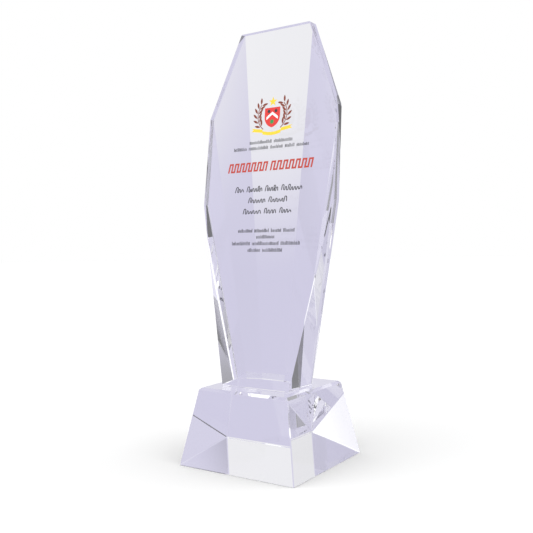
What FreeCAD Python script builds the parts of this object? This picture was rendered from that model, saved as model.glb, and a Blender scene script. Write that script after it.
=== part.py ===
import FreeCAD, Part
import math
import os
import re

import Sketcher

# Crystal award: a faceted optical-crystal blade that leans back, bonded with a clear
# adhesive film to a square tapered crystal base, with a UV print on the blade's front face.
# Millimetres. +Z up, +X to the viewer's right, -Y towards the viewer.
# The origin is the centre of the base's resting face.

SHEET = "Dimensions"
DIMENSIONS = (
    # the base
    ("base_width", 80.0),              # width and depth at the table
    ("base_top_width", 62.5),          # width and depth of the top before its bevel
    ("base_height", 46.0),
    ("base_top_bevel", 1.4),           # polished bevel round the top face
    ("base_edge_bevel", 0.5),          # corner and bottom edges
    # the adhesive film between base and blade
    ("film_thickness", 0.2),
    # the blade from the front; heights are above its own foot
    ("foot_width", 47.4),
    ("waist_width", 93.2),
    ("waist_height", 110.0),
    ("shoulder_width", 91.4),
    ("shoulder_height", 165.0),
    ("crown_width", 49.6),
    ("blade_height", 217.0),
    # the blade from the side; distances are from the upright plane through the base's middle
    ("foot_front", 18.5),              # front face at the foot, towards -Y
    ("crown_front", 8.3),              # front face at the crown, towards +Y
    ("back_depth", 15.9),              # upright centre panel of the back
    # the ground facets of the back
    ("centre_panel_foot_width", 15.8),
    ("panel_angle", 16.5),             # side panels turned from the centre panel, in plan
    ("corner_angle", 36.9),            # long corner facets turned from the centre panel
    ("foot_side_back", 8.8),           # where the side faces end at the foot
    ("blade_edge_bevel", 0.4),
    ("cutter_span", 500.0),            # larger than the blade, so a cutter crosses all of it
    # the print, measured in the plane of the front face from the middle of its foot edge
    ("ink_thickness", 0.05),
    ("print_offset", 2.0),
    ("word_gap", 1.3),
    ("emblem_height", 164.5),
    ("wreath_radius", 10.4),
    ("stem_width", 0.5),
    ("leaf_length", 4.2),
    ("leaf_width", 1.35),
    ("leaf_tilt", 38.0),
    ("leaf_first_angle", -40.0),
    ("leaf_span_angle", 80.0),
    ("leaf_gap", 0.25),                # bare glass between a leaf and its stem
    ("stem_tail_angle", 14.0),         # how far the stem runs on below its first leaves
    ("star_radius", 3.1),
    ("star_notch_radius", 1.25),
    ("star_rise", 8.0),
    ("shield_width", 11.0),
    ("shield_rise", 4.4),
    ("shield_side", 5.4),
    ("shield_point", 7.8),
    ("chevron_width", 8.2),
    ("chevron_band", 1.8),
    ("chevron_climb", 3.0),
    ("chevron_drop", 3.0),
    ("disc_radius", 1.0),
    ("disc_spacing", 5.0),
    ("disc_rise", 2.2),
    ("mound_radius", 1.3),
    ("mound_drop", 4.3),
    ("ribbon_width", 13.0),
    ("ribbon_band", 2.0),
    ("ribbon_sag", 1.0),
    ("ribbon_drop", 9.6),
    ("tail_reach", 14.6),
    ("tail_rise", 1.2),
    ("tail_notch", 1.5),
)

# Rows of word bars in each ink: the row's middle above the foot edge, its height, its words.
TEXT_ROWS = {
    "caption_bars": ((148.3, 2.1, (16.4, 13.2)),
                     (144.7, 2.1, (9.8, 14.4, 9.2, 6.8, 8.6))),
    "headline_bars": ((133.2, 5.8, (29.8, 30.4)),),
    "name_bars": ((119.4, 4.0, (7.4, 12.2, 10.0, 15.6)),
                  (112.6, 3.8, (13.4, 14.0)),
                  (105.8, 3.8, (14.0, 9.6, 9.4))),
    "dedication_bars": ((94.0, 2.2, (10.8, 10.6, 7.4, 8.0)),
                        (90.2, 2.1, (13.2,)),
                        (86.3, 2.3, (13.6, 19.2, 13.4)),
                        (82.2, 2.2, (9.4, 14.2))),
}

STAR_POINTS = 5
LEAF_PAIRS = 6
SHARP_DEGREES = 50.0                       # only edges sharper than this get the blade's bevel
TOUCH = 1e-4

LEAN = "atan((@foot_front + @crown_front) / @blade_height)"
FOOT_LEVEL = "@base_height + @film_thickness"
PANEL_SLOPE = "tan(@panel_angle * 1 deg)"
CORNER_SLOPE = "tan(@corner_angle * 1 deg)"

UP = FreeCAD.Vector(0, 0, 1)
SKETCH_ORIGIN = -1                         # the sketcher's own number for its origin point
X_AXIS, Y_AXIS = -1, -2                    # and for its axes
START, END, CENTRE = 1, 2, 3               # the sketcher's numbers for an element's points


# ---- the sheet and its expressions -------------------------------------------------------

def row_alias(label, row, part):
    """Alias of one size of a text row, such as name_bars_second_word3."""
    return f"{label}_{('first', 'second', 'third', 'fourth')[row]}_{part}"


def all_dimensions():
    """The driving dimensions, then those of the text rows, as alias and value."""
    yield from DIMENSIONS
    for label, rows in TEXT_ROWS.items():
        for row, (middle, tall, words) in enumerate(rows):
            yield row_alias(label, row, "middle"), middle
            yield row_alias(label, row, "tall"), tall
            for number, width in enumerate(words, start=1):
                yield row_alias(label, row, f"word{number}"), width


def fill_sheet(doc):
    """One spreadsheet line for each driving dimension: its name, its value and its alias."""
    sheet = doc.addObject("Spreadsheet::Sheet", SHEET)
    for line, (alias, value) in enumerate(all_dimensions(), start=1):
        sheet.set(f"A{line}", alias)
        sheet.set(f"B{line}", str(value))
        sheet.setAlias(f"B{line}", alias)
    doc.recompute()
    return sheet


def expand(text):
    """Writes @name as the sheet's cell of that name."""
    return re.sub(r"@(\w+)", SHEET + r".\1", text)


def bind(feature, prop, text):
    """Ties a property to the sheet."""
    feature.setExpression(prop, expand(text))


def value_of(sheet, text):
    """The present value of an expression, as a plain number."""
    value = sheet.evalExpression(expand(text))
    return float(getattr(value, "Value", value))


def vector_text(x, y, z):
    return f"create(<<vector>>; {x}; {y}; {z})"


def turn_text(axis, angle):
    return f"create(<<rotation>>; {vector_text(*axis)}; {angle})"


def placement_text(base, turn):
    return f"create(<<placement>>; {base}; {turn})"


# ---- bodies and sketches -----------------------------------------------------------------

def new_body(doc, label):
    body = doc.addObject("PartDesign::Body", label)
    body.Label = label
    body.AllowCompound = True
    return body


def origin_plane(body, role):
    """One of the body's own origin planes."""
    planes = [feature for feature in body.Origin.OriginFeatures if feature.Role == role]
    return planes[0]


def new_sketch(body, name, role):
    """An empty sketch on one of the body's origin planes."""
    sketch = body.newObject("Sketcher::SketchObject", f"{body.Label}_{name}")
    sketch.AttachmentSupport = [(origin_plane(body, role), "")]
    sketch.MapMode = "FlatFace"
    return sketch


def measure(sheet, sketch, kind, element, point, text):
    """A DistanceX or DistanceY from the sketch's origin to a point, tied to the sheet."""
    size = value_of(sheet, text)
    if abs(size) < TOUCH:
        axis_line = Y_AXIS if kind == "DistanceX" else X_AXIS
        sketch.addConstraint(Sketcher.Constraint("PointOnObject", element, point, axis_line))
        return
    origin, target = (SKETCH_ORIGIN, START), (element, point)
    ends = origin + target if size > 0 else target + origin
    index = sketch.addConstraint(Sketcher.Constraint(kind, *ends, abs(size)))
    sign = "" if size > 0 else "-"
    bind(sketch, f"Constraints[{index}]", f"{sign}({text})")


def pin(sheet, sketch, element, x_text, y_text, point=START):
    """Holds a point of a line, arc or circle at two distances from the sketch's origin."""
    measure(sheet, sketch, "DistanceX", element, point, x_text)
    measure(sheet, sketch, "DistanceY", element, point, y_text)


def set_radius(sheet, sketch, ring, text):
    """Ties the radius of a circle or arc to the sheet."""
    index = sketch.addConstraint(Sketcher.Constraint("Radius", ring, value_of(sheet, text)))
    bind(sketch, f"Constraints[{index}]", text)


def touch(sketch, first, first_point, second, second_point, kind="Coincident"):
    """Brings two points together, and with kind Tangent makes their curves flow on as well."""
    sketch.addConstraint(Sketcher.Constraint(kind, first, first_point, second, second_point))


def join_ends(sketch, sides):
    """Closes a loop of lines and arcs, each starting where the last one ends."""
    for side, following in zip(sides, sides[1:] + sides[:1]):
        touch(sketch, side, END, following, START)


def polygon(sheet, sketch, corners):
    """A closed polygon through corners given as pairs of expressions."""
    points = [FreeCAD.Vector(value_of(sheet, x), value_of(sheet, y), 0) for x, y in corners]
    sides = []
    for start, end in zip(points, points[1:] + points[:1]):
        sides.append(sketch.addGeometry(Part.LineSegment(start, end), False))
    join_ends(sketch, sides)
    for side, corner in zip(sides, corners):
        pin(sheet, sketch, side, *corner)


def circle(sheet, sketch, x_text, y_text, radius_text):
    """A circle with its centre and radius read from the sheet."""
    centre = FreeCAD.Vector(value_of(sheet, x_text), value_of(sheet, y_text), 0)
    radius = value_of(sheet, radius_text)
    ring = sketch.addGeometry(Part.Circle(centre, UP, radius), False)
    set_radius(sheet, sketch, ring, radius_text)
    pin(sheet, sketch, ring, x_text, y_text, CENTRE)


def mirrored_corners(right_side):
    """The corners of a shape given by its right half, from the bottom up."""
    left_side = [(f"-({x})", y) for x, y in reversed(right_side) if x != "0"]
    return list(right_side) + left_side


def pad(body, sketch, length_text, name="pad"):
    feature = body.newObject("PartDesign::Pad", f"{body.Label}_{name}")
    feature.Profile = sketch
    bind(feature, "Length", length_text)
    return feature


def mirror_whole(body):
    """Adds the mirror image of all that the body holds so far, left to right."""
    feature = body.newObject("PartDesign::Mirrored", f"{body.Label}_mirror")
    feature.MirrorPlane = (origin_plane(body, "YZ_Plane"), [""])
    feature.TransformMode = "Whole shape"
    body.Tip = feature


def bevel(body, edge_names, size_text, name):
    """A bevel on named edges of the body's latest feature."""
    base = body.Tip
    feature = body.newObject("PartDesign::Chamfer", f"{body.Label}_{name}")
    feature.Base = (base, edge_names)
    bind(feature, "Size", size_text)
    body.Tip = feature


def edges_where(shape, test):
    """Names of the edges that pass a test."""
    return [f"Edge{number}" for number, edge in enumerate(shape.Edges, start=1) if test(edge)]


def turn_between_faces(shape, edge):
    """Angle in degrees between the outward normals of the two flat faces at an edge."""
    first, second = shape.ancestorsOfType(edge, Part.Face)
    return math.degrees(first.normalAt(0, 0).getAngle(second.normalAt(0, 0)))


# ---- the crystal pieces ------------------------------------------------------------------

def make_base(doc, sheet):
    """Square block that tapers upwards, bevelled round its top and lightly on its edges."""
    body = new_body(doc, "crystal_base")
    sketch = new_sketch(body, "outline", "XY_Plane")
    half = "@base_width / 2"
    polygon(sheet, sketch, mirrored_corners([(half, f"-({half})"), (half, half)]))
    block = pad(body, sketch, "@base_height")
    bind(block, "TaperAngle", "-atan((@base_width - @base_top_width) / 2 / @base_height)")
    doc.recompute()
    top = value_of(sheet, "@base_height")

    def on_top(edge):
        return all(abs(vertex.Z - top) < TOUCH for vertex in edge.Vertexes)

    bevel(body, edges_where(block.Shape, on_top), "@base_top_bevel", "top_bevel")
    doc.recompute()
    shoulder = body.Tip.Shape
    under = top - value_of(sheet, "@base_top_bevel") / 2

    def below_bevel(edge):
        low, high = edge.BoundBox.ZMin, edge.BoundBox.ZMax
        level_below_top = high - low < TOUCH and high < top / 2
        return level_below_top or (low < top / 2 < high < under)

    bevel(body, edges_where(shoulder, below_bevel), "@base_edge_bevel", "edge_bevel")
    return body


def make_film(doc, sheet):
    """Adhesive film with the outline of the blade's foot."""
    body = new_body(doc, "adhesive_film")
    bind(body, "Placement.Base.z", "@base_height")
    sketch = new_sketch(body, "outline", "XY_Plane")
    # the corner facet rises from the side face and meets the side panel at this distance
    reach = (f"(@foot_side_back - @back_depth + {CORNER_SLOPE} * @foot_width / 2"
             f" - {PANEL_SLOPE} * @centre_panel_foot_width / 2)"
             f" / ({CORNER_SLOPE} - {PANEL_SLOPE})")
    depth = f"@back_depth - {PANEL_SLOPE} * ({reach} - @centre_panel_foot_width / 2)"
    front = ("@foot_width / 2", "-@foot_front")
    side = ("@foot_width / 2", "@foot_side_back")
    centre = ("@centre_panel_foot_width / 2", "@back_depth")
    polygon(sheet, sketch, mirrored_corners([front, side, (reach, depth), centre]))
    pad(body, sketch, "@film_thickness")
    return body


def grinding_cut(body, name, side, x, y, plan_angle, climb):
    """Removes all beyond a facet plane that passes through x, y at the foot.

    side is 1 on the right and -1 on the left. plan_angle is the facet's turn from the back
    panel in plan, and climb is how much further back it lies for each millimetre of height.
    """
    pitch = f"atan({climb} * cos({plan_angle} * 1 deg))"
    turn = f"create(<<rotation>>; 90 - {side} * {plan_angle}; {pitch}; 0)"
    centring = vector_text("0", "-@cutter_span / 2", "-@cutter_span / 2")
    cutter = body.newObject("PartDesign::SubtractiveBox", f"{body.Label}_{name}")
    for edge in ("Length", "Width", "Height"):
        bind(cutter, edge, "@cutter_span")
    base = f"{vector_text(f'{side} * {x}', y, '0')} + {turn} * {centring}"
    bind(cutter, "Placement", placement_text(base, turn))


def make_blade(doc, sheet):
    """Tall eight-sided blade: flat leaning front, faceted back, thin above and thick below."""
    body = new_body(doc, "crystal_blade")
    bind(body, "Placement.Base.z", FOOT_LEVEL)

    outline = new_sketch(body, "outline", "XZ_Plane")
    bind(outline, "AttachmentOffset.Base.z", "-@back_depth")
    right_side = [("@foot_width / 2", "0"),
                  ("@waist_width / 2", "@waist_height"),
                  ("@shoulder_width / 2", "@shoulder_height"),
                  ("@crown_width / 2", "@blade_height")]
    polygon(sheet, outline, mirrored_corners(right_side))
    pad(body, outline, "@foot_front + @back_depth")

    wedge = new_sketch(body, "front_wedge", "YZ_Plane")
    polygon(sheet, wedge, [("-@foot_front", "0"),
                           ("@crown_front", "@blade_height"),
                           ("-@foot_front", "@blade_height")])
    front_cut = body.newObject("PartDesign::Pocket", "crystal_blade_front_cut")
    front_cut.Profile = wedge
    front_cut.Type = "ThroughAll"
    front_cut.SideType = "Symmetric"

    # the side panels widen from the centre panel's foot to the crown's corners, and the
    # corner facets run out where those panels reach the shoulders
    edge_run = "(@crown_width - @centre_panel_foot_width) / 2 / @blade_height"
    shoulder_back = (f"(@back_depth - {PANEL_SLOPE} * ((@shoulder_width"
                     f" - @centre_panel_foot_width) / 2 - {edge_run} * @shoulder_height))")
    corner_run = (f"({shoulder_back} - @foot_side_back + {CORNER_SLOPE}"
                  " * (@shoulder_width - @foot_width) / 2) / @shoulder_height")
    for side, hand in ((1, "right"), (-1, "left")):
        grinding_cut(body, f"{hand}_panel_cut", side,
                     "@centre_panel_foot_width / 2", "@back_depth",
                     "@panel_angle", f"{PANEL_SLOPE} * {edge_run}")
        grinding_cut(body, f"{hand}_corner_cut", side,
                     "@foot_width / 2", "@foot_side_back",
                     "@corner_angle", corner_run)
    doc.recompute()

    ground = body.Tip.Shape
    sharp = edges_where(ground, lambda edge: turn_between_faces(ground, edge) > SHARP_DEGREES)
    bevel(body, sharp, "@blade_edge_bevel", "edge_bevel")
    return body


# ---- the print on the front face ---------------------------------------------------------

def new_ink_body(doc, label):
    """A body whose XZ plane lies in the leaning front face, with -Y outwards."""
    body = new_body(doc, label)
    base = vector_text("@print_offset", "-@foot_front", FOOT_LEVEL)
    bind(body, "Placement", placement_text(base, turn_text((1, 0, 0), f"-{LEAN}")))
    return body


def emblem_sketch(body, name, layer=0):
    """A sketch centred on the emblem, lying on the given number of ink layers."""
    sketch = new_sketch(body, name, "XZ_Plane")
    bind(sketch, "AttachmentOffset.Base.y", "@emblem_height")
    if layer:
        bind(sketch, "AttachmentOffset.Base.z", f"{layer} * @ink_thickness")
    return sketch


def leaf_outline(sheet, sketch):
    """A pointed leaf from the sketch's origin along +Y: two arcs through its widest points."""
    length = value_of(sheet, "@leaf_length")
    half_width = value_of(sheet, "@leaf_width / 2")
    base, tip = FreeCAD.Vector(0, 0, 0), FreeCAD.Vector(0, length, 0)
    right = Part.Arc(base, FreeCAD.Vector(half_width, length / 2, 0), tip)
    left = Part.Arc(tip, FreeCAD.Vector(-half_width, length / 2, 0), base)
    arcs = [sketch.addGeometry(right, False), sketch.addGeometry(left, False)]
    # an arc of the sketcher always runs anticlockwise, so both start where they should
    join_ends(sketch, arcs)
    pin(sheet, sketch, arcs[0], "0", "0")
    pin(sheet, sketch, arcs[1], "0", "@leaf_length")
    for arc in arcs:
        set_radius(sheet, sketch, arc,
                   "(@leaf_length ^ 2 / 4 + @leaf_width ^ 2 / 4) / @leaf_width")


def arc_band(sheet, sketch, inner, outer, first_angle, last_angle):
    """A closed band between two arcs about the sketch's origin."""
    angles = [math.radians(value_of(sheet, text)) for text in (first_angle, last_angle)]
    corners = []
    arcs = []
    for radius in (value_of(sheet, outer), value_of(sheet, inner)):
        ring = Part.Circle(FreeCAD.Vector(), UP, radius)
        arcs.append(sketch.addGeometry(Part.ArcOfCircle(ring, *angles), False))
        corners.append([ring.value(angle) for angle in angles])
    end_cap = sketch.addGeometry(Part.LineSegment(corners[0][1], corners[1][1]), False)
    start_cap = sketch.addGeometry(Part.LineSegment(corners[1][0], corners[0][0]), False)
    touch(sketch, arcs[0], END, end_cap, START)
    touch(sketch, end_cap, END, arcs[1], END)
    touch(sketch, arcs[1], START, start_cap, START)
    touch(sketch, start_cap, END, arcs[0], START)
    for arc, radius in zip(arcs, (outer, inner)):
        touch(sketch, arc, CENTRE, SKETCH_ORIGIN, START)
        set_radius(sheet, sketch, arc, radius)
    for cap, point, angle in ((start_cap, END, first_angle), (end_cap, START, last_angle)):
        measure(sheet, sketch, "DistanceY", cap, point, f"{outer} * sin({angle} * 1 deg)")
        sketch.addConstraint(Sketcher.Constraint("PointOnObject", SKETCH_ORIGIN, START, cap))


def make_wreath(doc, sheet):
    """Two laurel branches: a thin stem on each side with pairs of leaves along it."""
    body = new_ink_body(doc, "emblem_wreath")
    stem = emblem_sketch(body, "stem")
    first_angle = "(@leaf_first_angle - @stem_tail_angle)"
    last_angle = "(@leaf_first_angle + @leaf_span_angle)"
    inner, outer = "(@wreath_radius - @stem_width / 2)", "(@wreath_radius + @stem_width / 2)"
    arc_band(sheet, stem, inner, outer, first_angle, last_angle)
    pad(body, stem, "@ink_thickness", "stem_pad")
    leaves = []
    for name, sign in (("outer_leaf", "+"), ("inner_leaf", "-")):
        leaf = new_sketch(body, name, "XZ_Plane")
        radius = f"(@wreath_radius {sign} (@stem_width / 2 + @leaf_gap))"
        at = vector_text(f"{radius} * cos(@leaf_first_angle * 1 deg)",
                         f"@emblem_height + {radius} * sin(@leaf_first_angle * 1 deg)",
                         "0")
        turn = turn_text((0, 0, 1), f"@leaf_first_angle - ({sign}1) * @leaf_tilt")
        bind(leaf, "AttachmentOffset", placement_text(at, turn))
        leaf_outline(sheet, leaf)
        leaves.append(pad(body, leaf, "@ink_thickness", f"{name}_pad"))
    branch = body.newObject("PartDesign::PolarPattern", "emblem_wreath_branch")
    branch.Originals = leaves
    branch.Axis = (stem, ["N_Axis"])
    branch.Occurrences = LEAF_PAIRS
    bind(branch, "Angle", "@leaf_span_angle")
    body.Tip = branch
    doc.recompute()
    mirror_whole(body)
    return body


def make_star(doc, sheet):
    body = new_ink_body(doc, "emblem_star")
    sketch = emblem_sketch(body, "outline")
    corners = []
    for number in range(2 * STAR_POINTS):
        radius = "@star_notch_radius" if number % 2 else "@star_radius"
        turn = f"{number} * 180 deg / {STAR_POINTS}"
        x = "0" if number % STAR_POINTS == 0 else f"-{radius} * sin({turn})"
        corners.append((x, f"@star_rise + {radius} * cos({turn})"))
    polygon(sheet, sketch, corners)
    pad(body, sketch, "@ink_thickness")
    return body


def make_shield(doc, sheet):
    """A heater shield: flat top, upright sides, and two arcs down to its point."""
    body = new_ink_body(doc, "emblem_shield")
    sketch = emblem_sketch(body, "outline")
    half = value_of(sheet, "@shield_width / 2")
    top = value_of(sheet, "@shield_rise")
    bend = value_of(sheet, "@shield_rise - @shield_side")
    drop = bend + value_of(sheet, "@shield_point")
    # each arc leaves its side upright, so its centre is level with the bend
    radius = (half * half + drop * drop) / (2 * half)
    sweep = math.asin(drop / radius)
    right_ring = Part.Circle(FreeCAD.Vector(half - radius, bend, 0), UP, radius)
    left_ring = Part.Circle(FreeCAD.Vector(radius - half, bend, 0), UP, radius)
    corners = [FreeCAD.Vector(x, y, 0)
               for x, y in ((half, bend), (half, top), (-half, top), (-half, bend))]
    right_arc = sketch.addGeometry(Part.ArcOfCircle(right_ring, -sweep, 0), False)
    lines = [sketch.addGeometry(Part.LineSegment(start, end), False)
             for start, end in zip(corners, corners[1:])]
    left_arc = sketch.addGeometry(Part.ArcOfCircle(left_ring, math.pi, math.pi + sweep), False)
    touch(sketch, right_arc, END, lines[0], START, "Tangent")
    touch(sketch, lines[0], END, lines[1], START)
    touch(sketch, lines[1], END, lines[2], START)
    touch(sketch, lines[2], END, left_arc, START, "Tangent")
    touch(sketch, left_arc, END, right_arc, START)
    pin(sheet, sketch, right_arc, "0", "-@shield_point")
    pin(sheet, sketch, lines[0], "@shield_width / 2", "@shield_rise - @shield_side")
    pin(sheet, sketch, lines[1], "@shield_width / 2", "@shield_rise")
    pin(sheet, sketch, lines[2], "-@shield_width / 2", "@shield_rise")
    pin(sheet, sketch, left_arc, "-@shield_width / 2", "@shield_rise - @shield_side")
    pad(body, sketch, "@ink_thickness")
    return body


def make_chevron(doc, sheet):
    """A pale chevron printed over the shield."""
    body = new_ink_body(doc, "emblem_chevron")
    sketch = emblem_sketch(body, "outline", layer=1)
    half = "@chevron_width / 2"
    polygon(sheet, sketch, [("0", "-@chevron_drop + @chevron_climb"),
                            (f"-({half})", "-@chevron_drop"),
                            (f"-({half})", "-@chevron_drop + @chevron_band"),
                            ("0", "-@chevron_drop + @chevron_climb + @chevron_band"),
                            (half, "-@chevron_drop + @chevron_band"),
                            (half, "-@chevron_drop")])
    pad(body, sketch, "@ink_thickness")
    return body


def make_discs(doc, sheet):
    """Two dark discs over the shield, above the chevron."""
    body = new_ink_body(doc, "emblem_discs")
    sketch = emblem_sketch(body, "outline", layer=1)
    for side in ("", "-"):
        circle(sheet, sketch, f"{side}@disc_spacing / 2", "@disc_rise", "@disc_radius")
    pad(body, sketch, "@ink_thickness")
    return body


def make_mound(doc, sheet):
    """A green disc over the shield, below the chevron."""
    body = new_ink_body(doc, "emblem_mound")
    sketch = emblem_sketch(body, "outline", layer=1)
    circle(sheet, sketch, "0", "-@mound_drop", "@mound_radius")
    pad(body, sketch, "@ink_thickness")
    return body


def make_ribbon(doc, sheet):
    """A gold ribbon below the shield: a dipped middle and two swallow-tailed ends."""
    body = new_ink_body(doc, "emblem_ribbon")
    middle = emblem_sketch(body, "middle")
    half = "@ribbon_width / 2"
    top, low = "-@ribbon_drop", "(-@ribbon_drop - @ribbon_band)"
    dip = "@ribbon_sag"
    polygon(sheet, middle, mirrored_corners([("0", f"{low} - {dip}"),
                                             (f"{half} * 0.45", f"{low} - {dip} * 0.8"),
                                             (half, low),
                                             (half, top),
                                             (f"{half} * 0.45", f"{top} - {dip} * 0.8"),
                                             ("0", f"{top} - {dip}")]))
    pad(body, middle, "@ink_thickness", "middle_pad")
    tail = emblem_sketch(body, "tail")
    high = f"({top} + @tail_rise)"
    polygon(sheet, tail, [(half, top),
                          (half, f"{top} - @ribbon_band / 2"),
                          ("@tail_reach", f"{high} - @ribbon_band / 2"),
                          ("@tail_reach - @tail_notch", high),
                          ("@tail_reach", f"{high} + @ribbon_band / 2"),
                          (half, f"{top} + @ribbon_band / 2")])
    pad(body, tail, "@ink_thickness", "tail_pad")
    doc.recompute()
    mirror_whole(body)
    return body


def make_text_rows(doc, sheet, label):
    """Rows of plain bars, one bar for each word."""
    body = new_ink_body(doc, label)
    sketch = new_sketch(body, "outline", "XZ_Plane")
    for row, (_, _, words) in enumerate(TEXT_ROWS[label]):
        widths = [f"@{row_alias(label, row, f'word{number + 1}')}" for number in range(len(words))]
        gaps = len(words) - 1
        total = " + ".join(widths) + f" + {gaps} * @word_gap"
        middle = f"@{row_alias(label, row, 'middle')}"
        half = f"@{row_alias(label, row, 'tall')} / 2"
        for number, width in enumerate(widths):
            before = " + ".join(widths[:number] + [f"{number} * @word_gap"])
            left = f"({before} - ({total}) / 2)"
            right = f"({left} + {width})"
            polygon(sheet, sketch, [(left, f"{middle} - {half}"),
                                    (right, f"{middle} - {half}"),
                                    (right, f"{middle} + {half}"),
                                    (left, f"{middle} + {half}")])
    pad(body, sketch, "@ink_thickness")
    return body


# ---- checks and files --------------------------------------------------------------------

def check(doc, bodies):
    """Stops if any object failed or any sub-part has no valid shape."""
    for feature in doc.Objects:
        if {"Invalid", "Error"} & set(feature.State):
            raise RuntimeError(f"{feature.Name} failed: {feature.State}")
    for body in bodies:
        if body.Shape.isNull() or not body.Shape.isValid() or not body.Shape.Solids:
            raise RuntimeError(f"{body.Label} has no valid shape")


def main():
    doc = FreeCAD.newDocument("crystal_award")
    sheet = fill_sheet(doc)
    bodies = [make_base(doc, sheet),
              make_film(doc, sheet),
              make_blade(doc, sheet),
              make_wreath(doc, sheet),
              make_star(doc, sheet),
              make_shield(doc, sheet),
              make_chevron(doc, sheet),
              make_discs(doc, sheet),
              make_mound(doc, sheet),
              make_ribbon(doc, sheet)]
    bodies += [make_text_rows(doc, sheet, label) for label in TEXT_ROWS]
    doc.recompute()
    check(doc, bodies)
    os.makedirs("parts", exist_ok=True)
    for body in bodies:
        body.Shape.exportStep(f"parts/{body.Label}.step")
        box = body.Shape.BoundBox
        print(f"{body.Label}: {len(body.Shape.Solids)} solids, {body.Shape.Volume:.1f} mm3,"
              f" {box.XLength:.1f} x {box.YLength:.1f} x {box.ZLength:.1f} mm")


main()
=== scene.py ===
import math
import random

import bmesh
import bpy
from bpy.props import FloatProperty, FloatVectorProperty, PointerProperty
from mathutils import Matrix, Vector


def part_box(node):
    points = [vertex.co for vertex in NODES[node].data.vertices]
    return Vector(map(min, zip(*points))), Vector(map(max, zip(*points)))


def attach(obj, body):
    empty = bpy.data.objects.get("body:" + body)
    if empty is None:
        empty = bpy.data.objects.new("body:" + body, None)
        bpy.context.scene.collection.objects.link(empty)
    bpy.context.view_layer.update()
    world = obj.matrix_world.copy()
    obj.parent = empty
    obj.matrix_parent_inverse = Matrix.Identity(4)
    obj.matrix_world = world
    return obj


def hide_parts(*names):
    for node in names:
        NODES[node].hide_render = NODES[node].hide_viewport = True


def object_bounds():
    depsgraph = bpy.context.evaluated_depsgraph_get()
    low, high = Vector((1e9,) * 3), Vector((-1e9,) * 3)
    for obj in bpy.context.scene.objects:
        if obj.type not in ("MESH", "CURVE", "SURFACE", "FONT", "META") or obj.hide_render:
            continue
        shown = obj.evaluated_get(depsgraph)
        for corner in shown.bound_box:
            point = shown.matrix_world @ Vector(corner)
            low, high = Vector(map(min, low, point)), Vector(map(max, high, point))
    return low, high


bl_info = {
    "name": "Crystal Award",
    "version": (1, 0, 0),
    "blender": (4, 5, 0),
    "location": "View3D > Sidebar > Crystal Award",
    "description": "Finishes a faceted crystal award with a colour print around its CAD frame",
    "category": "Add Mesh",
}

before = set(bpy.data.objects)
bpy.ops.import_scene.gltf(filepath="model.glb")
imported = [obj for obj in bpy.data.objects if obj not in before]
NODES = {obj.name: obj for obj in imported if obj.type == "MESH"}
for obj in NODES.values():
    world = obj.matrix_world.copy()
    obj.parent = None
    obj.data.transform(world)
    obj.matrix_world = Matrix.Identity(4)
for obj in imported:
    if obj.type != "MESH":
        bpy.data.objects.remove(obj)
CAD_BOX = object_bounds()
BODY = "root"

MM = 0.001
MERGE = 1e-6                      # corners nearer than this are one corner
FLAT = math.radians(0.1)          # faces that turn less than this are one face
ARRIS_WIDTH = 1.0 * MM            # bevel faces narrower than this are ground arrises
FRONT, ARRIS, BOND = 0, 1, 2      # material indices on a crystal piece


# ---- sizes and colours -------------------------------------------------------------------

def length(name, description, default):
    return FloatProperty(name=name, description=description, default=default,
                         min=0.0, unit="LENGTH", precision=5)


def angle(name, description, degrees):
    return FloatProperty(name=name, description=description, default=math.radians(degrees),
                         unit="ROTATION")


def share(name, description, default):
    return FloatProperty(name=name, description=description, default=default,
                         min=0.0, max=1.0, subtype="FACTOR")


def colour(name, description, default):
    return FloatVectorProperty(name=name, description=description, default=default,
                               size=3, min=0.0, max=1.0, subtype="COLOR")


class CrystalSettings(bpy.types.PropertyGroup):
    tint: colour("Tint", "White light after it has passed in and out of the crystal",
                 (0.96, 0.96, 0.985))
    index: FloatProperty(name="Refractive index", description="Of the optical crystal",
                         default=1.517, min=1.0, max=2.5)
    smear: share("Smears", "Roughness where fingers and the polishing cloth left a haze", 0.012)
    arris: share("Arris", "Roughness of the narrow ground edges", 0.06)
    waviness: length("Waviness", "Depth of the slow waves that the polisher leaves", 2e-6)


class BondSettings(bpy.types.PropertyGroup):
    bead: length("Bead", "How far the adhesive stands out round the foot", 0.35 * MM)
    index: FloatProperty(name="Refractive index", description="Of the cured adhesive",
                         default=1.5, min=1.0, max=2.5)
    haze: share("Haze", "Roughness of the bead's skin", 0.04)
    clearance: length("Clearance", "Keeps wetted faces from lying in one place", 0.01 * MM)


class PrintSettings(bpy.types.PropertyGroup):
    headline: colour("Headline", "Red ink of the headline", (0.50, 0.04, 0.02))
    black: colour("Black", "Ink of the names and small print", (0.035, 0.035, 0.04))
    maroon: colour("Maroon", "Ink of the wreath", (0.23, 0.035, 0.01))
    gold: colour("Gold", "Ink of the star and ribbon", (0.86, 0.62, 0.02))
    red: colour("Red", "Ink of the shield", (0.72, 0.02, 0.015))
    white: colour("White", "Ink of the chevron", (0.85, 0.85, 0.85))
    green: colour("Green", "Ink of the mound", (0.02, 0.3, 0.06))
    headline_pitch: length("Headline pitch", "From one headline stroke to the next", 2.15 * MM)
    headline_stroke: length("Headline stroke", "Width of a headline stroke", 1.05 * MM)
    headline_lean: share("Headline lean", "Run to the right for each unit of height", 0.2)
    small_pitch: length("Small pitch", "From one small stroke to the next", 0.72 * MM)
    pen: length("Pen", "Width of the handwritten strokes", 0.58 * MM)
    grain: share("Grain", "How much the ink's tone varies", 0.12)


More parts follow.
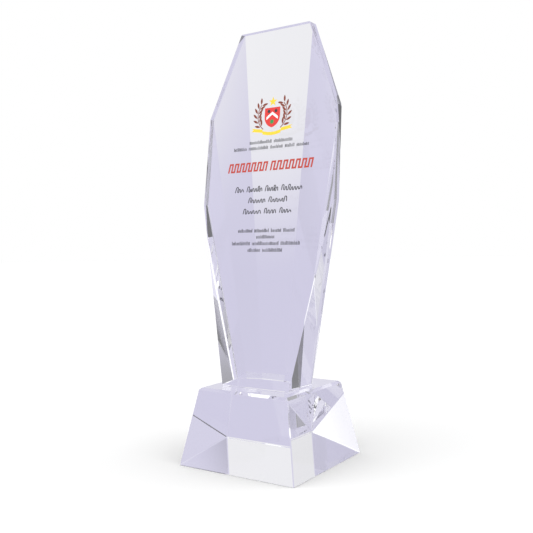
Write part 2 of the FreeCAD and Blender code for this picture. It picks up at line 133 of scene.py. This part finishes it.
class StageSettings(bpy.types.PropertyGroup):
    floor: colour("Floor", "Pale floor", (0.9, 0.9, 0.9))
    floor_radius: length("Floor radius", "Of the round floor", 6.0)
    eye: FloatVectorProperty(name="Eye", description="Where the camera stands", size=3,
                             default=(0.246, -0.374, 0.131), subtype="TRANSLATION",
                             unit="LENGTH", precision=5)
    heading: angle("Heading", "Turn of the camera to the left of straight ahead", 33.6)
    pitch: angle("Pitch", "Tilt of the camera above the horizon", -1.7)
    roll: angle("Roll", "Roll of the camera", -0.7)
    lens: FloatProperty(name="Lens", description="Focal length on a 36 mm sensor",
                        default=49.8, unit="CAMERA")


# ---- meshes ------------------------------------------------------------------------------

def whole_faces(node):
    """A copy of a CAD node's mesh with its corners merged and its flat faces made whole."""
    bm = bmesh.new()
    bm.from_mesh(NODES[node].data)
    bmesh.ops.remove_doubles(bm, verts=bm.verts, dist=MERGE)
    bmesh.ops.dissolve_limit(bm, angle_limit=FLAT, verts=bm.verts, edges=bm.edges)
    bm.normal_update()
    return bm


def add_piece(name, mesh, materials, replaced=()):
    """Makes a bmesh or a mesh a finished piece that rides on the award's one body."""
    if isinstance(mesh, bmesh.types.BMesh):
        made = bpy.data.meshes.new(name)
        mesh.to_mesh(made)
        mesh.free()
        mesh = made
    piece = bpy.data.objects.new(name, mesh)
    bpy.context.scene.collection.objects.link(piece)
    for material in materials:
        mesh.materials.append(material)
    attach(piece, BODY)
    if replaced:
        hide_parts(*replaced)
    return piece


def face_facing(bm, way):
    """The largest face that looks along a direction."""
    way = Vector(way)
    return max(bm.faces, key=lambda face: face.normal.dot(way) * face.calc_area())


def outline_of(node, way):
    """Corners of a node's face that looks along a direction, in order round the Z axis."""
    bm = whole_faces(node)
    corners = [corner.co.copy() for corner in face_facing(bm, way).verts]
    bm.free()
    return sorted(corners, key=lambda corner: math.atan2(corner.y, corner.x))


def pushed_out(corners, distance):
    """A convex outline in plan, with each side moved outwards by a distance."""
    moved = []
    for before, here, after in zip(corners[-1:] + corners[:-1], corners,
                                   corners[1:] + corners[:1]):
        into, out = (here - before).normalized(), (after - here).normalized()
        normals = [Vector((side.y, -side.x, 0.0)) for side in (into, out)]
        middle = (normals[0] + normals[1]).normalized()
        moved.append(here + middle * distance / middle.dot(normals[0]))
    return moved


def mark_arrises(bm):
    """Gives the narrow ground bevels their own finish."""
    for face in bm.faces:
        longest = max(edge.calc_length() for edge in face.edges)
        if face.calc_area() / longest < ARRIS_WIDTH:
            face.material_index = ARRIS


def level_faces(bm, height):
    """The faces that lie level at a height."""
    return [face for face in bm.faces if abs(face.normal.z) > 0.999
            and abs(face.calc_center_median().z - height) < MERGE]


def imprint(bm, outline, height):
    """Cuts an outline into the level face at a height, and makes what is inside it bonded."""
    for here, there in zip(outline, outline[1:] + outline[:1]):
        side = (there - here).normalized()
        outwards = Vector((side.y, -side.x, 0.0))
        faces = level_faces(bm, height)
        edges = {edge for face in faces for edge in face.edges}
        corners = {corner for face in faces for corner in face.verts}
        bmesh.ops.bisect_plane(bm, geom=faces + list(edges) + list(corners), dist=MERGE / 10,
                               plane_co=here, plane_no=outwards)
    for face in level_faces(bm, height):
        middle = face.calc_center_median()
        inside = all((middle - here).cross(there - here).z < 0.0
                     for here, there in zip(outline, outline[1:] + outline[:1]))
        if inside:
            face.material_index = BOND


# ---- materials ---------------------------------------------------------------------------

def new_material(name):
    material = bpy.data.materials.new(name)
    material.use_nodes = True
    tree = material.node_tree
    return material, tree, tree.nodes["Principled BSDF"]


def node(tree, kind, links=(), **values):
    """Adds a shader node. Values set its own options, and links its inputs by name or place."""
    made = tree.nodes.new("ShaderNode" + kind)
    for name, value in values.items():
        setattr(made, name, value)
    for socket, source in dict(links).items():
        if isinstance(source, bpy.types.NodeSocket):
            tree.links.new(source, made.inputs[socket])
        else:
            made.inputs[socket].default_value = source
    return made


def object_coords(tree):
    return node(tree, "TexCoord").outputs["Object"]


def glass(name, index, tint=(1.0, 1.0, 1.0), roughness=0.0):
    material, tree, shader = new_material(name)
    shader.inputs["Base Color"].default_value = (*tint, 1.0)
    shader.inputs["Transmission Weight"].default_value = 1.0
    shader.inputs["IOR"].default_value = index
    shader.inputs["Roughness"].default_value = roughness
    return material, tree, shader


def polished_crystal(settings):
    """Clear optical crystal: slow waves from the polisher and a faint haze where it was held."""
    material, tree, shader = glass("polished_crystal", settings.index, settings.tint)
    place = object_coords(tree)
    haze = node(tree, "TexNoise", {"Vector": place, "Scale": 38.0, "Detail": 4.0,
                                   "Roughness": 0.6})
    smear = node(tree, "MapRange", {"Value": haze.outputs["Fac"], "From Min": 0.58,
                                    "From Max": 0.78, "To Min": 0.0,
                                    "To Max": settings.smear})
    tree.links.new(smear.outputs["Result"], shader.inputs["Roughness"])
    waves = node(tree, "TexNoise", {"Vector": place, "Scale": 55.0, "Detail": 1.0})
    relief = node(tree, "Bump", {"Height": waves.outputs["Fac"], "Strength": 1.0,
                                 "Distance": settings.waviness})
    tree.links.new(relief.outputs["Normal"], shader.inputs["Normal"])
    return material


def ground_arris(settings):
    """The narrow bevels: ground, then buffed less than the faces."""
    material, tree, shader = glass("ground_arris", settings.index)
    grind = node(tree, "TexNoise", {"Vector": object_coords(tree), "Scale": 900.0,
                                    "Detail": 2.0})
    rough = node(tree, "MapRange", {"Value": grind.outputs["Fac"], "From Min": 0.3,
                                    "From Max": 0.7, "To Min": settings.arris * 0.5,
                                    "To Max": settings.arris * 1.5})
    tree.links.new(rough.outputs["Result"], shader.inputs["Roughness"])
    return material


def bonded_face():
    """A face wetted by adhesive of the crystal's own index: light goes straight through."""
    return glass("bonded_face", 1.0)[0]


def crystal_finishes():
    settings = bpy.context.scene.award_crystal
    found = [bpy.data.materials.get(name) for name in ("polished_crystal", "ground_arris",
                                                       "bonded_face")]
    if all(found):
        return found
    return [polished_crystal(settings), ground_arris(settings), bonded_face()]


def ink(name, base):
    """Cured printing ink: a satin skin over a fine grain of slightly varying tone."""
    grain = bpy.context.scene.award_print.grain
    material, tree, shader = new_material(name)
    place = object_coords(tree)
    dots = node(tree, "TexVoronoi", {"Vector": place, "Scale": 6000.0})
    cloud = node(tree, "TexNoise", {"Vector": place, "Scale": 420.0, "Detail": 3.0})
    mixed = node(tree, "Math", {0: dots.outputs["Distance"], 1: cloud.outputs["Fac"]},
                 operation="MULTIPLY")
    tone = node(tree, "MapRange", {"Value": mixed.outputs[0], "From Min": 0.05,
                                   "From Max": 0.4, "To Min": 1.0 - grain, "To Max": 1.0})
    shade = node(tree, "VectorMath", {0: base, "Scale": tone.outputs["Result"]},
                 operation="SCALE")
    tree.links.new(shade.outputs["Vector"], shader.inputs["Base Color"])
    skin = node(tree, "MapRange", {"Value": cloud.outputs["Fac"], "From Min": 0.3,
                                   "From Max": 0.7, "To Min": 0.38, "To Max": 0.55})
    tree.links.new(skin.outputs["Result"], shader.inputs["Roughness"])
    relief = node(tree, "Bump", {"Height": mixed.outputs[0], "Strength": 0.5,
                                 "Distance": 0.01 * MM})
    tree.links.new(relief.outputs["Normal"], shader.inputs["Normal"])
    return material


# ---- the print's own axes ----------------------------------------------------------------

def front_axes():
    """Matrix from the print's axes (X right, Y up the face, Z outwards) to the frame's."""
    bm = whole_faces("crystal_blade")
    front = face_facing(bm, (0.0, -1.0, 0.0))
    outwards, middle = front.normal.copy(), front.calc_center_median()
    bm.free()
    right = Vector((1.0, 0.0, 0.0))
    up = outwards.cross(right)
    axes = Matrix((right, up, outwards)).transposed().to_4x4()
    axes.translation = (0.0, middle.y, middle.z)
    return axes


def parts_of(node_name):
    """Low and high corners, in the print's axes, of each separate solid of an ink node."""
    to_face = front_axes().inverted()
    bm = whole_faces(node_name)
    left = set(bm.verts)
    boxes = []
    while left:
        reached, grown = set(), [left.pop()]
        while grown:
            corner = grown.pop()
            reached.add(corner)
            grown += [other for edge in corner.link_edges
                      for other in [edge.other_vert(corner)] if other not in reached]
        left -= reached
        places = [to_face @ corner.co for corner in reached]
        boxes.append((Vector(map(min, zip(*places))), Vector(map(max, zip(*places)))))
    bm.free()
    return sorted(boxes, key=lambda box: (round(-box[0].y / MM), box[0].x))


def bar(bm, low, high, lean=0.0):
    """A thin bar of ink from its low corner to its high one, leaning to the right."""
    wide, tall, deep = high - low
    middle = (low + high) / 2
    place = Matrix(((wide, lean * tall, 0.0, middle.x),
                    (0.0, tall, 0.0, middle.y),
                    (0.0, 0.0, deep, middle.z),
                    (0.0, 0.0, 0.0, 1.0)))
    return bmesh.ops.create_cube(bm, size=1.0, matrix=place)["verts"]


# How high the pen's peaks rise, as shares of the row: mostly low, now and then tall.
PEN_HEIGHTS = (0.5, 0.55, 0.6, 0.52, 0.66, 1.0)


# ---- the pieces --------------------------------------------------------------------------

class AWARD_OT_base(bpy.types.Operator):
    """Square tapered crystal base with the blade's footprint bonded into its top"""
    bl_idname = "award.base"
    bl_label = "Crystal Base"

    def execute(self, context):
        bm = whole_faces("crystal_base")
        mark_arrises(bm)
        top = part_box("crystal_base")[1].z
        rim = pushed_out(outline_of("adhesive_film", (0, 0, 1)), context.scene.award_bond.bead)
        imprint(bm, rim, top)
        add_piece("base_block", bm, crystal_finishes(), ["crystal_base"])
        return {"FINISHED"}


class AWARD_OT_blade(bpy.types.Operator):
    """Leaning faceted crystal blade with its bonded foot"""
    bl_idname = "award.blade"
    bl_label = "Crystal Blade"

    def execute(self, context):
        bm = whole_faces("crystal_blade")
        mark_arrises(bm)
        for face in level_faces(bm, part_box("crystal_blade")[0].z):
            face.material_index = BOND
        add_piece("blade_block", bm, crystal_finishes(), ["crystal_blade"])
        return {"FINISHED"}


class AWARD_OT_bond(bpy.types.Operator):
    """Clear adhesive film between base and blade, with the small bead that squeezed out"""
    bl_idname = "award.bond"
    bl_label = "Adhesive Bond"

    def execute(self, context):
        settings = context.scene.award_bond
        low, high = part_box("adhesive_film")
        low.z += settings.clearance
        high.z -= settings.clearance
        sides = outline_of("adhesive_film", (0, 0, -1))
        foot = outline_of("crystal_blade", (0, 0, -1))
        rim = pushed_out(sides, settings.bead)
        reach = max(corner.x for corner in rim) - max(corner.x for corner in foot)
        bm = bmesh.new()
        corners = [bm.verts.new((corner.x, corner.y, low.z)) for corner in rim]
        top = bm.faces.new(corners)
        bm.normal_update()
        steps = 5
        for step in range(steps):
            here, there = (math.radians(90.0) * number / steps for number in (step, step + 1))
            bmesh.ops.inset_individual(
                bm, faces=[top], use_even_offset=True,
                thickness=reach * (math.sin(there) - math.sin(here)),
                depth=(high.z - low.z) * (math.cos(here) - math.cos(there)))
        for face in bm.faces:
            face.material_index = ARRIS
        top.material_index = BOND
        bm.faces.new(corners[::-1]).material_index = BOND
        bm.normal_update()
        skin = glass("adhesive_skin", settings.index, roughness=settings.haze)[0]
        finishes = crystal_finishes()
        add_piece("adhesive_bond", bm, [finishes[FRONT], skin, finishes[BOND]],
                  ["adhesive_film"])
        return {"FINISHED"}


class AWARD_OT_emblem(bpy.types.Operator):
    """Finishes the printed emblem's inks"""
    bl_idname = "award.emblem"
    bl_label = "Emblem"

    def execute(self, context):
        settings = context.scene.award_print
        for name, base in (("emblem_wreath", settings.maroon), ("emblem_star", settings.gold),
                           ("emblem_shield", settings.red), ("emblem_chevron", settings.white),
                           ("emblem_discs", settings.black), ("emblem_mound", settings.green),
                           ("emblem_ribbon", settings.gold)):
            slots = NODES[name].material_slots
            material = ink(name + "_ink", base)
            for slot in slots:
                slot.material = material
        return {"FINISHED"}


def key_band(bm, low, high, pitch, stroke, lean):
    """A leaning key pattern: upright strokes tied in turn at the top and at the bottom."""
    tall = high.y - low.y
    room = high.x - low.x - stroke - lean * tall
    count = round(room / pitch)
    columns, rows = 2 * count + 1, (0.0, stroke, tall - stroke, tall)
    grid = bmesh.ops.create_grid(bm, x_segments=columns, y_segments=3, size=1.0)["verts"]
    cells = {face for corner in grid for face in corner.link_faces}
    unused = []
    for cell in cells:
        middle = cell.calc_center_median()
        column = int((middle.x + 1.0) / 2.0 * columns)
        row = int((middle.y + 1.0) / 2.0 * 3.0)
        tie = 2 if column % 4 == 1 else 0
        if column % 2 and row != tie:
            unused.append(cell)
    for corner in grid:
        column = round((corner.co.x + 1.0) / 2.0 * columns)
        height = rows[round((corner.co.y + 1.0) / 2.0 * 3.0)]
        along = column // 2 * room / count + column % 2 * stroke
        corner.co = (low.x + along + lean * height, low.y + height, low.z)
    bmesh.ops.delete(bm, geom=unused, context="FACES")
    flat = [face for face in cells if face.is_valid]
    grown = bmesh.ops.extrude_face_region(bm, geom=flat, use_keep_orig=True)["geom"]
    raised = [item for item in grown if isinstance(item, bmesh.types.BMVert)]
    bmesh.ops.translate(bm, verts=raised, vec=(0.0, 0.0, high.z - low.z))


class AWARD_OT_headline(bpy.types.Operator):
    """Red headline: two bold leaning key patterns, one for each word"""
    bl_idname = "award.headline"
    bl_label = "Headline"

    def execute(self, context):
        settings = context.scene.award_print
        bm = bmesh.new()
        for low, high in parts_of("headline_bars"):
            key_band(bm, low, high, settings.headline_pitch, settings.headline_stroke,
                     settings.headline_lean)
        bmesh.ops.recalc_face_normals(bm, faces=bm.faces)
        bm.transform(front_axes())
        add_piece("headline_print", bm, [ink("headline_ink", settings.headline)],
                  ["headline_bars"])
        return {"FINISHED"}


class AWARD_OT_small_print(bpy.types.Operator):
    """Caption and dedication: rows of words, each a run of fine upright strokes"""
    bl_idname = "award.small_print"
    bl_label = "Small Print"

    def execute(self, context):
        settings = context.scene.award_print
        material = ink("small_print_ink", settings.black)
        rng = random.Random(7)
        for name, source in (("caption_print", "caption_bars"),
                             ("dedication_print", "dedication_bars")):
            bm = bmesh.new()
            for low, high in parts_of(source):
                count = round((high.x - low.x) / settings.small_pitch)
                step = (high.x - low.x) / count
                for number in range(count):
                    left = low.x + step * number
                    tall = (high.y - low.y) * rng.choice((0.7, 0.85, 1.0))
                    bar(bm, Vector((left, low.y, low.z)),
                        Vector((left + step * rng.uniform(0.4, 0.62), low.y + tall, high.z)))
            bm.transform(front_axes())
            add_piece(name, bm, [material], [source])
        return {"FINISHED"}


class AWARD_OT_names(bpy.types.Operator):
    """Three handwritten rows: each word is one wavering pen stroke"""
    bl_idname = "award.names"
    bl_label = "Names"

    def execute(self, context):
        settings = context.scene.award_print
        rng = random.Random(3)
        curve = bpy.data.curves.new("pen_strokes", "CURVE")
        curve.dimensions = "3D"
        curve.bevel_depth = settings.pen / 2
        curve.bevel_resolution = 2
        curve.resolution_u = 5
        curve.use_fill_caps = True
        for low, high in parts_of("name_bars"):
            thick = high.z - low.z
            base = low.z + thick / 2
            edge = settings.pen / 2
            tall = high.y - low.y - 2 * edge
            humps = max(2, round((high.x - low.x) / (2.2 * MM)))
            step = (high.x - low.x - 2 * edge - 0.2 * tall) / (2 * humps)
            places = []
            for number in range(2 * humps + 1):
                rise = rng.choice(PEN_HEIGHTS) if number % 2 else rng.uniform(0.0, 0.1)
                if number == 1:
                    rise = 1.0
                x = low.x + edge + step * (number + rng.uniform(-0.2, 0.2)) + 0.2 * tall * rise
                places.append((x, low.y + edge + tall * rise, base))
            spline = curve.splines.new("BEZIER")
            spline.bezier_points.add(len(places) - 1)
            for point, place in zip(spline.bezier_points, places):
                point.co = place
                point.handle_left_type = point.handle_right_type = "AUTO"
        holder = bpy.data.objects.new("pen_strokes", curve)
        bpy.context.scene.collection.objects.link(holder)
        mesh = bpy.data.meshes.new_from_object(holder)
        bpy.data.objects.remove(holder)
        flat = Matrix.Scale(thick / settings.pen, 4, (0.0, 0.0, 1.0))
        lift = Matrix.Translation((0.0, 0.0, base))
        mesh.transform(front_axes() @ lift @ flat @ lift.inverted())
        add_piece("names_print", mesh, [ink("pen_ink", settings.black)],
                  ["name_bars"])
        return {"FINISHED"}


# ---- the stage ---------------------------------------------------------------------------

TABLE_TONE = (0.65, 0.63, 0.78)    # the studio below the horizon, in linear light
WALL_TONE = (0.70, 0.68, 0.82)     # and above it
CARD_RIM = 0.3                     # softness of a card's rim, as a share of its size
HORIZON = 0.1                      # wall and table blend within this height, up and down

# Bearing, height, width and tall in degrees, then light. Bearings count from straight behind
# the award to the camera at 180, and a card off that line stands on both sides of it.
CARDS = {
    "backdrop": (0, 25, 20, 50, 0.9),
    "softbox": (90, 35, 40, 60, 1.3),
    "flag": (60, 0, 30, 40, 0.15),
    "camera_side": (180, 0, 90, 30, 0.35),
}

KEY_BEARINGS = (80, -150)          # a soft light stands to each side of the camera
KEY_HEIGHT = 25                    # degrees above the horizon
KEY_LIGHT = 1.85                   # its light, straight from it
KEY_FALLOFF = 3.0                  # how fast its light fades to the side
KEY_REST = 0.52                    # light from the rest of the room
SHADE = (0.12, 0.12, 0.14)         # what the crystal lets through to the floor


def soft_card(tree, way, seen, side, card):
    """Lays one card over the surround: full light in its middle, fading out at its rim."""
    _, up, wide, tall, light = card
    turned = node(tree, "VectorRotate", {"Vector": way, "Axis": (0.0, 0.0, 1.0),
                                         "Angle": math.radians(side)},
                  rotation_type="AXIS_ANGLE").outputs["Vector"]
    split = node(tree, "SeparateXYZ", {"Vector": turned})
    round_turn = node(tree, "Math", {0: split.outputs["X"], 1: split.outputs["Y"]},
                      operation="ARCTAN2")
    rise = node(tree, "Math", {0: split.outputs["Z"]}, operation="ARCSINE")
    place = node(tree, "CombineXYZ", {"X": round_turn.outputs[0], "Y": rise.outputs[0]})
    offset = node(tree, "VectorMath", {0: place.outputs["Vector"],
                                       1: (0.0, math.radians(up), 0.0)},
                  operation="SUBTRACT")
    scaled = node(tree, "VectorMath", {0: offset.outputs["Vector"],
                                       1: (2.0 / math.radians(wide),
                                           2.0 / math.radians(tall), 0.0)},
                  operation="MULTIPLY")
    away = node(tree, "VectorMath", {0: scaled.outputs["Vector"]}, operation="LENGTH")
    cover = node(tree, "MapRange", {"Value": away.outputs["Value"],
                                    "From Min": 1.0 + CARD_RIM, "From Max": 1.0 - CARD_RIM},
                 interpolation_type="SMOOTHSTEP")
    laid = node(tree, "Mix", {0: cover.outputs["Result"], 6: seen,
                              7: (light, light, light, 1.0)}, data_type="RGBA")
    return laid.outputs[2]


def studio_surround(tree, way, heading):
    """Colour of the surround by direction: table and wall, with the cards over them."""
    height = node(tree, "SeparateXYZ", {"Vector": way}).outputs["Z"]
    above = node(tree, "MapRange", {"Value": height, "From Min": -HORIZON,
                                    "From Max": HORIZON})
    seen = node(tree, "Mix", {0: above.outputs["Result"], 6: (*TABLE_TONE, 1.0),
                              7: (*WALL_TONE, 1.0)}, data_type="RGBA").outputs[2]
    for card in CARDS.values():
        sides = {card[0], -card[0]} if card[0] % 180 else {card[0]}
        for side in sorted(sides):
            seen = soft_card(tree, way, seen, side - math.degrees(heading), card)
    return seen


def light_surround(heading):
    """White to the camera, two keys for the floor and inks, and cards for the crystal."""
    world = bpy.data.worlds.new("studio")
    bpy.context.scene.world = world
    world.use_nodes = True
    tree = world.node_tree
    way = node(tree, "TexCoord").outputs["Generated"]
    path = node(tree, "LightPath")
    level = KEY_REST
    for side in KEY_BEARINGS:
        turn, rise = math.radians(side), math.radians(KEY_HEIGHT)
        aim = (math.sin(turn) * math.cos(rise), math.cos(turn) * math.cos(rise),
               math.sin(rise))
        facing = node(tree, "VectorMath", {0: way, 1: aim}, operation="DOT_PRODUCT")
        front = node(tree, "Math", {0: facing.outputs["Value"], 1: 0.0}, operation="MAXIMUM")
        lobe = node(tree, "Math", {0: front.outputs[0], 1: KEY_FALLOFF},
                    operation="POWER")
        level = node(tree, "Math", {0: lobe.outputs[0], 1: KEY_LIGHT, 2: level},
                     operation="MULTIPLY_ADD").outputs[0]
    room = node(tree, "Mix", {0: path.outputs["Is Camera Ray"], 2: level, 3: 1.0})
    in_crystal = node(tree, "Math", {0: path.outputs["Is Transmission Ray"],
                                     1: path.outputs["Is Glossy Ray"]}, operation="MAXIMUM")
    from_floor = node(tree, "Math", {0: path.outputs["Diffuse Depth"], 1: 0.5},
                      operation="GREATER_THAN")
    shown = node(tree, "Mix", {0: from_floor.outputs[0],
                               6: studio_surround(tree, way, heading), 7: (*SHADE, 1.0)},
                 data_type="RGBA")
    tone = node(tree, "Mix", {0: in_crystal.outputs[0], 6: room.outputs[0],
                              7: shown.outputs[2]}, data_type="RGBA")
    tree.links.new(tone.outputs[2], tree.nodes["Background"].inputs["Color"])


class AWARD_OT_stage(bpy.types.Operator):
    """Pale floor, soft light and the camera"""
    bl_idname = "award.stage"
    bl_label = "Stage"

    def execute(self, context):
        scene = context.scene
        settings = scene.award_stage
        scene.view_settings.view_transform = "Standard"
        scene.cycles.max_bounces = 32
        scene.cycles.transmission_bounces = 32
        scene.cycles.glossy_bounces = 24

        bm = bmesh.new()
        bmesh.ops.create_circle(bm, cap_ends=True, radius=settings.floor_radius, segments=96,
                                matrix=Matrix.Translation((0.0, 0.0, CAD_BOX[0].z - 0.1 * MM)))
        mesh = bpy.data.meshes.new("floor")
        bm.to_mesh(mesh)
        bm.free()
        floor = bpy.data.objects.new("floor", mesh)
        scene.collection.objects.link(floor)
        material, tree, shader = new_material("floor_paper")
        shader.inputs["Base Color"].default_value = (*settings.floor, 1.0)
        shader.inputs["Roughness"].default_value = 1.0
        shader.inputs["Specular IOR Level"].default_value = 0.0
        mesh.materials.append(material)
        floor.visible_transmission = False
        floor.visible_glossy = False

        light_surround(settings.heading)

        data = bpy.data.cameras.new("camera")
        data.lens = settings.lens
        data.clip_start = 0.01
        camera = bpy.data.objects.new("camera", data)
        scene.collection.objects.link(camera)
        turns = (Matrix.Rotation(settings.heading, 4, "Z")
                 @ Matrix.Rotation(math.radians(90.0) + settings.pitch, 4, "X")
                 @ Matrix.Rotation(settings.roll, 4, "Z"))
        camera.matrix_world = Matrix.Translation(settings.eye) @ turns
        scene.camera = camera
        return {"FINISHED"}


# ---- the add-on --------------------------------------------------------------------------

PIECES = (AWARD_OT_base, AWARD_OT_blade, AWARD_OT_bond, AWARD_OT_emblem, AWARD_OT_headline,
          AWARD_OT_small_print, AWARD_OT_names, AWARD_OT_stage)
SETTINGS = {"award_crystal": CrystalSettings, "award_bond": BondSettings,
            "award_print": PrintSettings, "award_stage": StageSettings}


class AWARD_PT_panel(bpy.types.Panel):
    """Lists the award's pieces and settings"""
    bl_idname = "AWARD_PT_panel"
    bl_label = "Crystal Award"
    bl_space_type = "VIEW_3D"
    bl_region_type = "UI"
    bl_category = "Crystal Award"

    def draw(self, context):
        for piece in PIECES:
            self.layout.operator(piece.bl_idname)
        for name, group in SETTINGS.items():
            box = self.layout.box()
            for field in group.__annotations__:
                box.prop(getattr(context.scene, name), field)


def register():
    for group in (*SETTINGS.values(), *PIECES, AWARD_PT_panel):
        bpy.utils.register_class(group)
    for name, group in SETTINGS.items():
        setattr(bpy.types.Scene, name, PointerProperty(type=group))


def unregister():
    for name in SETTINGS:
        delattr(bpy.types.Scene, name)
    for group in (AWARD_PT_panel, *reversed(PIECES), *SETTINGS.values()):
        bpy.utils.unregister_class(group)


def main():
    register()
    bpy.ops.award.base()
    bpy.ops.award.blade()
    bpy.ops.award.bond()
    bpy.ops.award.emblem()
    bpy.ops.award.headline()
    bpy.ops.award.small_print()
    bpy.ops.award.names()
    bpy.ops.award.stage()


if __name__ == "__main__":
    main()
